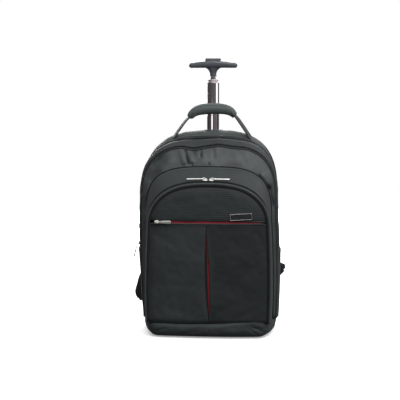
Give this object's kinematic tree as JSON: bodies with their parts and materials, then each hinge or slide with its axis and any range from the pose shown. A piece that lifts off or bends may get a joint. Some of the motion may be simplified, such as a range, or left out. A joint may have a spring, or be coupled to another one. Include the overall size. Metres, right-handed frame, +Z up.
{
  "type": "wheeled backpack",
  "caption": "Soft arched backpack on two wheels, with a telescopic T-handle pole, carrying handle, layered zipped pockets with a pleated front and padded shoulder straps.",
  "frame": {"origin": "on the floor, at the underside of the base, below the middle of the bag's width and 88 mm in front of the back seam", "axes": "+Z up along the pole, -Y towards the organiser's front panel, +Y towards the shoulder straps, +X to the right as seen from the front"},
  "size_m": [0.3619, 0.2323, 0.627],
  "materials": {
    "twill": "dark grey woven polyester with a low sheen",
    "satin": "mid grey satin polyester, quilted soft",
    "black_cloth": "black padded mesh and webbing",
    "piping": "dark grey covered piping",
    "zip_tape": "black zip tape and coil",
    "red_lining": "dark red nylon lining",
    "slate_plastic": "slate grey satin plastic",
    "black_plastic": "black moulded plastic",
    "chrome_tube": "bright chromed tube",
    "zip_metal": "bright nickel",
    "tyre": "black solid rubber",
    "badge": "gloss black plate, left blank"
  },
  "bodies": {
    "bag": {"rear_gusset": "twill", "main_gusset": "twill", "organiser_gusset": "twill", "main_front_panel": "satin", "front_panel_upper": "twill", "front_panel_lower_left": "twill", "front_panel_lower_right": "twill", "pocket_lining": "red_lining", "pleat_insert": "red_lining", "back_panel": "black_cloth", "base_tray": "twill", "piping_back": "piping", "piping_rear": "piping", "piping_main": "piping", "piping_organiser": "piping", "zip_rear_compartment": "zip_tape", "zip_main_compartment": "zip_tape", "zip_organiser": "zip_tape", "slider_rear_compartment": "zip_metal", "pull_rear_compartment": "zip_metal", "slider_main_compartment": "zip_metal", "pull_main_compartment": "zip_metal", "slider_organiser_left": "zip_metal", "pull_organiser_left": "zip_metal", "slider_organiser_right": "zip_metal", "pull_organiser_right": "zip_metal", "slider_front_pocket": "zip_metal", "pull_front_pocket": "zip_metal", "pole_sleeve": "black_plastic", "pole_bezel": "black_plastic", "handle_grip": "twill", "handle_webbing": "black_cloth", "wheel_chassis": "black_plastic", "axle_left": "zip_metal", "axle_right": "zip_metal", "side_pocket_left": "twill", "side_pocket_right": "twill", "shoulder_strap_left": "black_cloth", "strap_wing_left": "black_cloth", "strap_webbing_left": "black_cloth", "shoulder_strap_right": "black_cloth", "strap_wing_right": "black_cloth", "strap_webbing_right": "black_cloth", "badge": "badge"},
    "pole_stage": {"pole_stage": "chrome_tube", "pole_collar": "chrome_tube"},
    "tee_handle": {"pole_inner_tube": "chrome_tube", "tee_grip": "slate_plastic"},
    "button": {"tee_button": "slate_plastic"},
    "wheel_left": {"tyre_left": "tyre", "hub_left": "black_plastic"},
    "wheel_right": {"tyre_right": "tyre", "hub_right": "black_plastic"}
  },
  "joints": [
    {"name": "pole_slide", "type": "slide", "parent": "bag", "child": "pole_stage", "axis": [0, 0, 1], "range_m": [-0.12, 0.14]},
    {"name": "handle_slide", "type": "slide", "parent": "pole_stage", "child": "tee_handle", "axis": [0, 0, 1], "range_m": [-0.0065, 0.2]},
    {"name": "button_press", "type": "slide", "parent": "tee_handle", "child": "button", "axis": [0, 0, -1], "range_m": [0, 0.004], "stiffness_N_per_m": 400, "springref_m": -0.002},
    {"name": "wheel_left_spin", "type": "hinge", "parent": "bag", "child": "wheel_left", "pos_m": [-0.122, 0.083, 0.031], "axis": [1, 0, 0], "continuous": true},
    {"name": "wheel_right_spin", "type": "hinge", "parent": "bag", "child": "wheel_right", "pos_m": [0.122, 0.083, 0.031], "axis": [1, 0, 0], "continuous": true}
  ]
}
